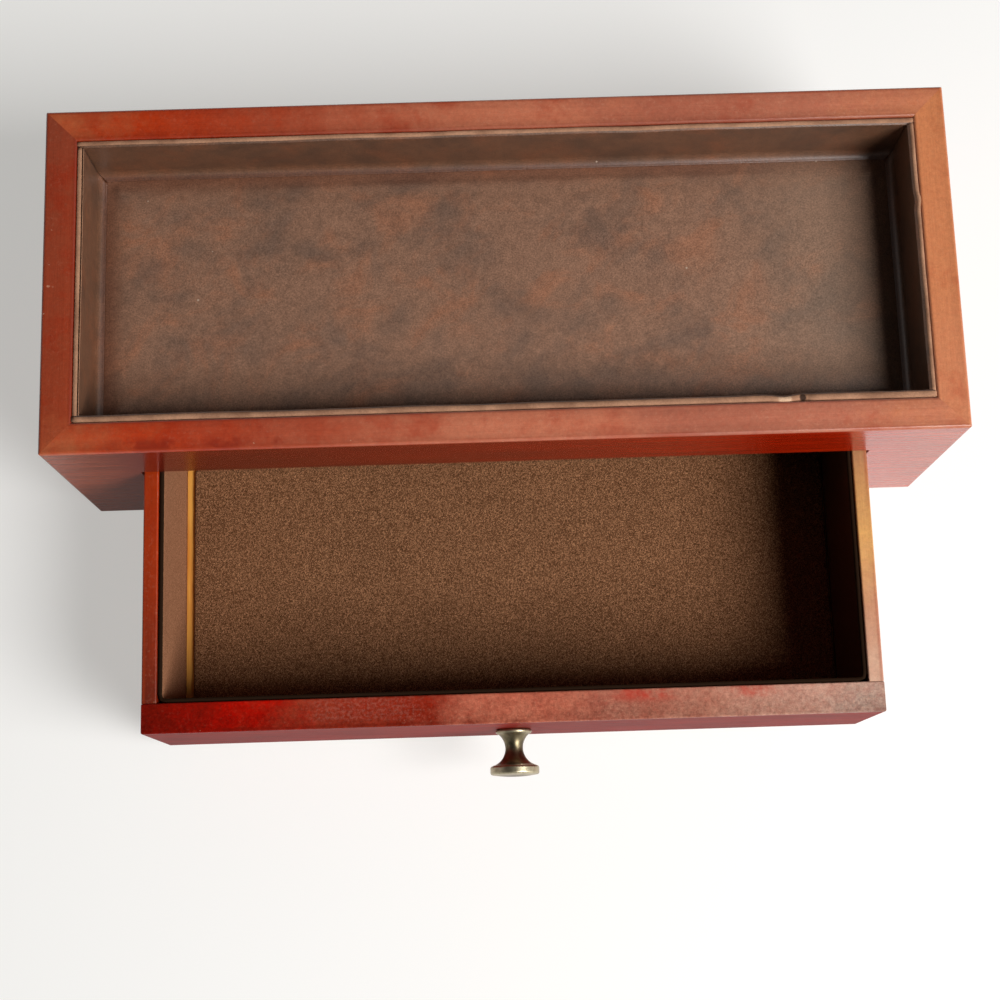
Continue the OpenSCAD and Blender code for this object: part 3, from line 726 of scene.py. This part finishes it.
def slab(name, rows, material):
    # rows[j][i] = (x, y, low z, high z); a closed slab with a shaped top
    ny, nx = len(rows), len(rows[0])
    top = [(x, y, high) for row in rows for x, y, low, high in row]
    under = [(x, y, low) for row in rows for x, y, low, high in row]
    n = nx * ny
    faces = []
    for j in range(ny - 1):
        for i in range(nx - 1):
            a = j * nx + i
            faces.append((a, a + 1, a + nx + 1, a + nx))
            faces.append((n + a, n + a + nx, n + a + nx + 1, n + a + 1))
    border = list(range(nx))
    border += [j * nx + nx - 1 for j in range(1, ny)]
    border += [(ny - 1) * nx + i for i in range(nx - 2, -1, -1)]
    border += [j * nx for j in range(ny - 2, 0, -1)]
    for a, b in zip(border, border[1:] + border[:1]):
        faces.append((a, n + a, n + b, b))
    return addPiece(name, top + under, faces, [material]), n


def spread(low, high, step):
    return np.linspace(low, high, max(2, round((high - low) / step) + 1))


# Leather pad in the tray

padLook = {
    "cell": 2.6 * mm,
    "roll": 6 * mm,
    "rim": 0.8 * mm,
    "startShare": 0.92,
    "pressure": 4.0,
    "frames": 20,
    "mostSwell": 0.35 * mm,
    "ripple": 0.10 * mm,
    "rippleSize": 26 * mm,
}


def padHeight(x, y, low, high):
    side = min(x - low.x, high.x - x)
    end = min(y - low.y, high.y - y)
    rolled = 1.0
    for s in (side, end):
        if s < padLook["roll"]:
            rolled *= 0.5 - 0.5 * math.cos(math.pi * s / padLook["roll"])
    crowned = (1 - (1 - 2 * side / (high.x - low.x)) ** 2) * (1 - (1 - 2 * end / (high.y - low.y)) ** 2)
    rise = high.z - low.z - padLook["rim"]
    return padLook["rim"] + rise * (0.8 * rolled + 0.2 * crowned)


def swell(piece, pinned, share):
    # blows the pad up a little with its rim and underside held
    before = np.array([v.co for v in piece.data.vertices])
    group = piece.vertex_groups.new(name="held")
    group.add(pinned, 1.0, "REPLACE")
    cloth = piece.modifiers.new("cloth", "CLOTH")
    cloth.settings.vertex_group_mass = "held"
    cloth.settings.use_pressure = True
    cloth.settings.uniform_pressure_force = padLook["pressure"]
    cloth.settings.effector_weights.gravity = 0
    cloth.point_cache.frame_end = padLook["frames"]
    scene = bpy.context.scene
    for step in range(1, padLook["frames"] + 1):
        scene.frame_set(step)
    shown = piece.evaluated_get(bpy.context.evaluated_depsgraph_get())
    after = np.array([v.co for v in shown.to_mesh().vertices])
    shown.to_mesh_clear()
    piece.modifiers.remove(cloth)
    piece.vertex_groups.remove(group)
    scene.frame_set(1)
    moved = after - before
    far = np.linalg.norm(moved, axis=1, keepdims=True)
    moved *= np.minimum(1.0, share / np.maximum(far, 1e-9))
    piece.data.vertices.foreach_set("co", (before + moved).astype(np.float32).ravel())
    piece.data.update()


def makeTrayPad(material):
    low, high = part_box("tray_pad")
    rollSteps = [padLook["roll"] * k / 8 for k in range(8)]

    def stations(a, b):
        middle = spread(a + padLook["roll"], b - padLook["roll"], padLook["cell"])
        return [a + s for s in rollSteps] + list(middle) + [b - s for s in reversed(rollSteps)]

    xs, ys = stations(low.x, high.x), stations(low.y, high.y)
    share = padLook["startShare"]
    rows = [[(x, y, low.z, low.z + share * padHeight(x, y, low, high)) for x in xs] for y in ys]
    pad, topCount = slab("leather_tray_pad", rows, material)  # the top's points come first
    nx, ny = len(xs), len(ys)
    rim = [j * nx + i for j in range(ny) for i in range(nx) if i in (0, nx - 1) or j in (0, ny - 1)]
    swell(pad, rim + list(range(topCount, 2 * topCount)), padLook["mostSwell"])
    for v in list(pad.data.vertices)[:topCount]:
        inside = min(v.co.x - low.x, high.x - v.co.x, v.co.y - low.y, high.y - v.co.y)
        fade = min(1.0, inside / padLook["roll"])
        v.co.z += fade * padLook["ripple"] * wave(v.co.x, v.co.y, 0, padLook["rippleSize"], 4.2)
    finishSmooth(pad)
    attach(pad, "case")
    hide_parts("tray_pad")


def finishSmooth(piece, level=1):
    rounder = piece.modifiers.new("rounder", "SUBSURF")
    rounder.levels = rounder.render_levels = level


# Wall liners of the tray

linerLook = {
    "step": 1.2 * mm,
    "wallGap": 0.08 * mm,
    "groove": 0.35 * mm,  # the dark line between card and leather where they part
    "top": 2.2 * mm,
    "foot": 5.0 * mm,  # the toe runs in under the pad's rim
    "toe": 0.7 * mm,
    "coveHeight": 4.5 * mm,
    "ripple": 0.28 * mm,
    "waveSize": 17 * mm,
    "endGap": 0.05 * mm,
    "nick": 0.28 * mm,  # the eased edges of the raw top
}


def linerFace(v):
    # how far the leather stands off the wall at a height over the tray board: a hollow quarter round
    cove, toe, run = linerLook["coveHeight"], linerLook["toe"], linerLook["foot"] - linerLook["top"]
    if v >= cove:
        return linerLook["top"]
    hollow = min(1.0, (cove - v) / (cove - toe))
    return linerLook["top"] + run * (1 - math.sqrt(1 - hollow**2))


def linerSection(height, card, parted):
    # points (out, up, is raw edge) once round: card back, raw top edge, leather face, foot
    gap, top = linerLook["wallGap"], linerLook["top"]
    lip = card + linerLook["groove"]
    nick = linerLook["nick"]
    points = [(gap, 0.0, 1), (gap, height - nick, 1), (gap + nick / 2, height, 1)]
    points += [(card - nick / 2, height, 1), (card, height - nick, 0)]
    if parted:
        points += [(card, height - 3 * nick, 0), (lip, height - 3 * nick, 0), (lip, height - nick, 1)]
        points += [(lip + nick / 3, height - nick / 2, 1), (top - nick / 3, height - nick / 2, 1)]
    points += [(top - nick / 4, height - nick, 0), (top, height - 2 * nick, 0)]
    cove, toe = linerLook["coveHeight"], linerLook["toe"]
    heights = list(np.linspace(0.96 * height, cove, 6))
    heights += [cove - (cove - toe) * math.sin(math.radians(a)) for a in range(10, 91, 10)]
    points += [(linerFace(v), v, 0) for v in heights]
    points.append((linerLook["foot"], 0.0, 0))
    return points


def makeLiner(name, node, origin, along, out, halfLength, cut, leanIn, bumps, materials, seed):
    low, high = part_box(node)
    height = high.z - low.z
    section = linerSection(height, *cut)
    waveSize = linerLook["waveSize"]
    steps = spread(-1, 1, linerLook["step"] / halfLength(height))
    points, faces, indices = [], [], []
    for s in steps:
        for o, u, raw in section:
            share = u / height
            place = origin + along * (s * halfLength(u))
            ripple = linerLook["ripple"] * wave(place.x, place.y, raw * 9.0 * mm, waveSize, seed)
            lean = leanIn * (1 + wave(place.x, place.y, 0, 1.6 * waveSize, seed + 5))
            for spot in bumps:
                near = math.exp(-(((place - origin).dot(along) - spot["at"]) / spot["wide"]) ** 2)
                ripple += near * spot["rise"]
                lean += near * spot["lean"]
            top = max(0.0, (share - 0.75) / 0.25)
            shift = top**2 * lean if o > linerLook["wallGap"] else 0.5 * top**2 * lean
            points.append(place + out * (o + shift) + Vector((0, 0, low.z + u + top * ripple)))
    m = len(section)
    for j in range(len(steps) - 1):
        for i in range(m):
            k = (i + 1) % m
            faces.append((j * m + i, j * m + k, (j + 1) * m + k, (j + 1) * m + i))
            indices.append(section[i][2])
    last = (len(steps) - 1) * m
    faces += [tuple(range(m - 1, -1, -1)), tuple(last + i for i in range(m))]
    indices += [1, 1]
    liner = addPiece(name, points, faces, materials, indices)
    faceOut(liner)
    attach(liner, "case")
    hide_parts(node)
    2 * halfLength(height)


def faceOut(piece):
    bpy.context.view_layer.objects.active = piece
    bpy.ops.object.select_all(action="DESELECT")
    piece.select_set(True)
    bpy.ops.object.mode_set(mode="EDIT")
    bpy.ops.mesh.select_all(action="SELECT")
    bpy.ops.mesh.remove_doubles(threshold=0.000001)
    bpy.ops.mesh.normals_make_consistent(inside=False)
    bpy.ops.object.mode_set(mode="OBJECT")


def makeLiners(materials):
    left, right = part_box("left_side")[1].x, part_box("right_side")[0].x
    front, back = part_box("front_panel")[1].y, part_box("back_panel")[0].y
    longHalf = (right - left) / 2 - linerLook["endGap"]
    x, y = Vector((1, 0, 0)), Vector((0, 1, 0))

    def long(v):
        return longHalf

    def short(v):
        return (back - front) / 2 - linerFace(v) - linerLook["endGap"]

    torn = [
        {"at": 90 * mm, "wide": 4 * mm, "rise": 0.3 * mm, "lean": -0.9 * mm},
        {"at": 97 * mm, "wide": 2.0 * mm, "rise": -1.4 * mm, "lean": 0.5 * mm},
        {"at": -138 * mm, "wide": 2.0 * mm, "rise": 0.4 * mm, "lean": 0.0},
        {"at": 138 * mm, "wide": 2.0 * mm, "rise": 0.4 * mm, "lean": 0.0},
    ]
    lifted = [{"at": 19 * mm, "wide": 2.2 * mm, "rise": 0.5 * mm, "lean": -0.4 * mm}]
    rows = (
        # side, a point on its wall, its run, its way out, half length, (card, parted), lean, bumps, seed
        ("front", Vector((0, front, 0)), x, y, long, (1.7 * mm, False), 0.45 * mm, torn, 1.3),
        ("back", Vector((0, back, 0)), x, -y, long, (1.5 * mm, False), 0.25 * mm, [], 2.7),
        ("left", Vector((left, 0, 0)), y, x, short, (1.5 * mm, True), 0.2 * mm, [], 3.9),
        ("right", Vector((right, 0, 0)), y, -x, short, (1.25 * mm, False), 0.0, lifted, 5.1),
    )
    for side, place, along, out, half, cut, lean, bumps, seed in rows:
        name, node = "leather_liner_" + side, "tray_liner_" + side
        makeLiner(name, node, place, along, out, half, cut, lean, bumps, materials, seed)


# Felt in the drawer and under the box

feltLook = {
    "cell": 2.5 * mm,
    "cornerRadius": 1.8 * mm,
    "edgeRoll": 0.7 * mm,
    "ripple": 0.12 * mm,
    "rippleSize": 22 * mm,
    "frayed": 0.12 * mm,
    "calmRim": 6 * mm,
    "baseCorner": 1 * mm,
}


def makeFeltSheet(name, node, body, material, corner):
    low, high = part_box(node)
    middle = (low + high) / 2
    half = (high - low) / 2
    thick = high.z - low.z
    edge = [0.0, feltLook["edgeRoll"] * 0.3, feltLook["edgeRoll"]]

    def stations(h):
        inner = spread(-h + 2 * edge[-1], h - 2 * edge[-1], feltLook["cell"])
        return [-h + e for e in edge] + list(inner) + [h - e for e in reversed(edge)]

    rows = []
    for v in stations(half.y):
        dip = max(0.0, corner - (half.y - abs(v)))
        narrow = corner - math.sqrt(max(0.0, corner**2 - dip**2))
        row = []
        for u in stations(half.x):
            x, y = middle.x + u * (half.x - narrow) / half.x, middle.y + v
            rim = min(half.x - abs(u), half.y - abs(v))
            roll = math.sqrt(max(0.0, 1 - (1 - min(1.0, rim / feltLook["edgeRoll"])) ** 2))
            ripple = feltLook["ripple"] * wave(x, y, 0, feltLook["rippleSize"], 7.7)
            ripple *= min(1.0, rim / feltLook["calmRim"])
            fray = feltLook["frayed"] * wave(x, y, 1, 3 * mm, 2.2)
            row.append((x + fray, y + fray, low.z, low.z + thick * (0.55 + 0.45 * roll) + ripple))
        rows.append(row)
    piece, _ = slab(name, rows, material)
    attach(piece, body)
    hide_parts(node)
    return piece


bandLook = {
    "thick": 1.2 * mm,
    "radius": 2 * mm,
    "step": 1.4 * mm,
    "rows": 14,
    "bulge": 0.25 * mm,
    "topWave": 0.35 * mm,
    "waveSize": 24 * mm,
    "seed": 11,
}


def weld(tree, geometry, distance):
    wires = {"Geometry": geometry, "Distance": distance}
    return put(tree, "GeometryNodeMergeByDistance", wires).outputs[0]


def bandTree(material):
    # a strip stood on a rounded rectangle, its middle bulging and its top edge wandering
    tree = bpy.data.node_groups.new("feltBandTree", "GeometryNodeTree")
    tree.interface.new_socket("Geometry", in_out="OUTPUT", socket_type="NodeSocketGeometry")
    lengths = ("Width", "Length", "Height", "Corner", "Thickness", "Bulge", "Top Wave", "Wave Size")
    for name in lengths + ("Columns", "Rows", "Seed"):
        kind = "NodeSocketFloat" if name in lengths else "NodeSocketInt"
        tree.interface.new_socket(name, in_out="INPUT", socket_type=kind)
    given = put(tree, "NodeGroupInput", {}).outputs
    # the outline, and a flat sheet whose run becomes a share of it
    wires = {"Width": given["Width"], "Height": given["Length"]}
    outline = put(tree, "GeometryNodeCurvePrimitiveQuadrilateral", wires).outputs[0]
    wires = {"Curve": outline, "Count": 10, "Radius": given["Corner"]}
    rounded = put(tree, "GeometryNodeFilletCurve", wires, mode="POLY").outputs[0]
    wires = {"Size X": 1.0, "Size Y": given["Height"]}
    wires |= {"Vertices X": given["Columns"], "Vertices Y": given["Rows"]}
    sheet = put(tree, "GeometryNodeMeshGrid", wires).outputs["Mesh"]
    spot = put(tree, "GeometryNodeInputPosition", {}).outputs[0]
    here = put(tree, "ShaderNodeSeparateXYZ", {"Vector": spot}).outputs
    wires = {"Curves": rounded, "Factor": calc(tree, "ADD", here["X"], 0.5)}
    path = put(tree, "GeometryNodeSampleCurve", wires, mode="FACTOR").outputs
    upShare = calc(tree, "ADD", calc(tree, "DIVIDE", here["Y"], given["Height"]), 0.5)
    # a slow wander moves the top edge and the bulge
    seedShift = put(tree, "ShaderNodeCombineXYZ", {"Z": given["Seed"]}).outputs[0]
    where = put(tree, "ShaderNodeVectorMath", {0: path["Position"], 1: seedShift}).outputs[0]
    wires = {"Vector": where, "Scale": calc(tree, "DIVIDE", 1.0, given["Wave Size"]), "Detail": 2.0}
    wander = calc(tree, "SUBTRACT", put(tree, "ShaderNodeTexNoise", wires).outputs["Fac"], 0.5)
    lift = calc(tree, "MULTIPLY", calc(tree, "MULTIPLY", wander, given["Top Wave"]), upShare)
    belly = calc(tree, "SINE", calc(tree, "MULTIPLY", upShare, math.pi))
    belly = calc(tree, "MULTIPLY", belly, given["Bulge"])
    belly = calc(tree, "MULTIPLY", belly, calc(tree, "ADD", calc(tree, "MULTIPLY", wander, 2.0), 0.5))
    wires = {0: path["Tangent"], 1: (0, 0, 1)}
    across = put(tree, "ShaderNodeVectorMath", wires, operation="CROSS_PRODUCT").outputs[0]
    push = put(tree, "ShaderNodeVectorMath", {0: across, "Scale": belly}, operation="SCALE").outputs[0]
    height = calc(tree, "ADD", here["Y"], calc(tree, "MULTIPLY", given["Height"], 0.5))
    rise = put(tree, "ShaderNodeCombineXYZ", {"Z": calc(tree, "ADD", height, lift)}).outputs[0]
    stood = put(tree, "ShaderNodeVectorMath", {0: path["Position"], 1: rise}).outputs[0]
    stood = put(tree, "ShaderNodeVectorMath", {0: stood, 1: push}).outputs[0]
    strip = put(tree, "GeometryNodeSetPosition", {"Geometry": sheet, "Position": stood}).outputs[0]
    # its ends meet, and it gets its thickness
    closed = weld(tree, strip, 0.02 * mm)
    wires = {"Mesh": closed, "Offset Scale": given["Thickness"], "Individual": False}
    outer = put(tree, "GeometryNodeExtrudeMesh", wires).outputs["Mesh"]
    inner = put(tree, "GeometryNodeFlipFaces", {"Mesh": closed}).outputs[0]
    both = put(tree, "GeometryNodeJoinGeometry", {})
    tree.links.new(outer, both.inputs[0])
    tree.links.new(inner, both.inputs[0])
    whole = weld(tree, both.outputs[0], 0.01 * mm)
    smooth = put(tree, "GeometryNodeSetShadeSmooth", {"Geometry": whole}).outputs[0]
    real = put(tree, "GeometryNodeRealizeInstances", {"Geometry": smooth}).outputs[0]
    dressed = put(tree, "GeometryNodeSetMaterial", {"Geometry": real, "Material": material}).outputs[0]
    put(tree, "NodeGroupOutput", {0: dressed})
    return tree


def grow(name, tree, values, materials):
    # runs a node tree and keeps its result as a plain mesh
    seed = bpy.data.objects.new(name + "_seed", bpy.data.meshes.new(name + "_seed"))
    bpy.context.scene.collection.objects.link(seed)
    maker = seed.modifiers.new("maker", "NODES")
    maker.node_group = tree
    sockets = {s.name: s.identifier for s in tree.interface.items_tree if s.in_out == "INPUT"}
    for key, value in values.items():
        maker[sockets[key]] = value
    shown = seed.evaluated_get(bpy.context.evaluated_depsgraph_get())
    mesh = bpy.data.meshes.new_from_object(shown)
    mesh.name = name
    seed.modifiers.remove(maker)
    bpy.data.objects.remove(seed)
    piece = bpy.data.objects.new(name, mesh)
    bpy.context.scene.collection.objects.link(piece)
    if not mesh.materials:
        for material in materials:
            mesh.materials.append(material)
    return piece


def makeFeltBand(material):
    low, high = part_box("drawer_felt_band")
    thick, radius = bandLook["thick"], bandLook["radius"]
    inset = 2 * thick
    width, length = high.x - low.x - inset, high.y - low.y - inset
    corner = radius - thick
    around = 2 * (width + length) - (8 - 2 * math.pi) * corner
    values = {
        "Width": width,
        "Length": length,
        "Height": high.z - low.z,
        "Corner": corner,
        "Thickness": thick,
        "Bulge": bandLook["bulge"],
        "Top Wave": bandLook["topWave"],
        "Wave Size": bandLook["waveSize"],
        "Columns": round(around / bandLook["step"]),
        "Rows": bandLook["rows"],
        "Seed": bandLook["seed"],
    }
    band = grow("felt_wall_band", bandTree(material), values, [material])
    middle = (low + high) / 2
    for v in band.data.vertices:
        v.co += Vector((middle.x, middle.y, low.z))
    faceOut(band)
    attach(band, "drawer")
    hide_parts("drawer_felt_band")


# Finishes of the boards that stay as they are

def dress(node, material):
    mesh = nodes[node].data
    mesh.materials.clear()
    mesh.materials.append(material)


def dressBoards():
    for node, look in boards.items():
        dress(node, lacquer(node, look))
    golden = bareWood("golden board", "Y", *woodTone["golden"], 0.4)
    pale = bareWood("pale board", "X", *woodTone["pale"], 1.1)
    strip = bareWood("pale strip", "Y", *woodTone["pale"], 1.7)
    dress("drawer_bottom", golden)
    for node in ("tray_board", "base_board"):
        dress(node, pale)
    for node in ("left_runner", "right_runner", "mitre_splines", "drawer_dowels"):
        dress(node, strip)
    dress("drawer_knob", antiqueBrass("antique brass"))
    bright = steel("bright steel")
    for node in ("base_screws", "drawer_bottom_pins", "knob_screw"):
        dress(node, bright)


bpy.context.scene.view_settings.view_transform = "Standard"
makeCamera()
makeLamp()
makeSky()
makeFloor()
print("studio ready")

dressBoards()
print("boards lacquered")

tray = leather("tray leather", 0.4, "tray_pad")
makeTrayPad(tray)
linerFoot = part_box("tray_liner_front")[0].z
# the liners take the pad's leather with painted shade
linerLeather = leather("liner leather", 2.2, footAt=linerFoot, level=leatherLook["linerShade"])
makeLiners([linerLeather, rawEdge("raw cut edge")])
print("tray lined")

drawerFelt = felt("drawer felt", *feltTone["drawer"], 0.12, 0.3)
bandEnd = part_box("drawer_felt_band")[1]
# painted shade on the band's top edge and on its right wall
bandShade = {
    "from": bandEnd.z - 2.0 * mm,
    "to": bandEnd.z - 0.9 * mm,
    "ragged": 1.2 * mm,
    "colour": srgb(36, 24, 16),
    "rightShade": (bandEnd.x - 12 * mm, bandEnd.x - 4 * mm),  # the right wall
    "rightShadeShare": 0.85,
}
# the band felt is a lighter, painted-sheen copy of the drawer felt
bandFelt = felt("band felt", *feltTone["band"], 0.3, 0.9, bandShade)
floorCard = makeFeltSheet(
    "felt_drawer_floor", "drawer_felt_floor", "drawer",
    drawerFelt, feltLook["cornerRadius"],
)
makeFeltBand(bandFelt)
underFelt = felt("base felt", *feltTone["base"], 0.15, 1.4)
underPiece = makeFeltSheet(
    "felt_under_base", "base_felt", "case",
    underFelt, feltLook["baseCorner"],
)
print("felt laid")
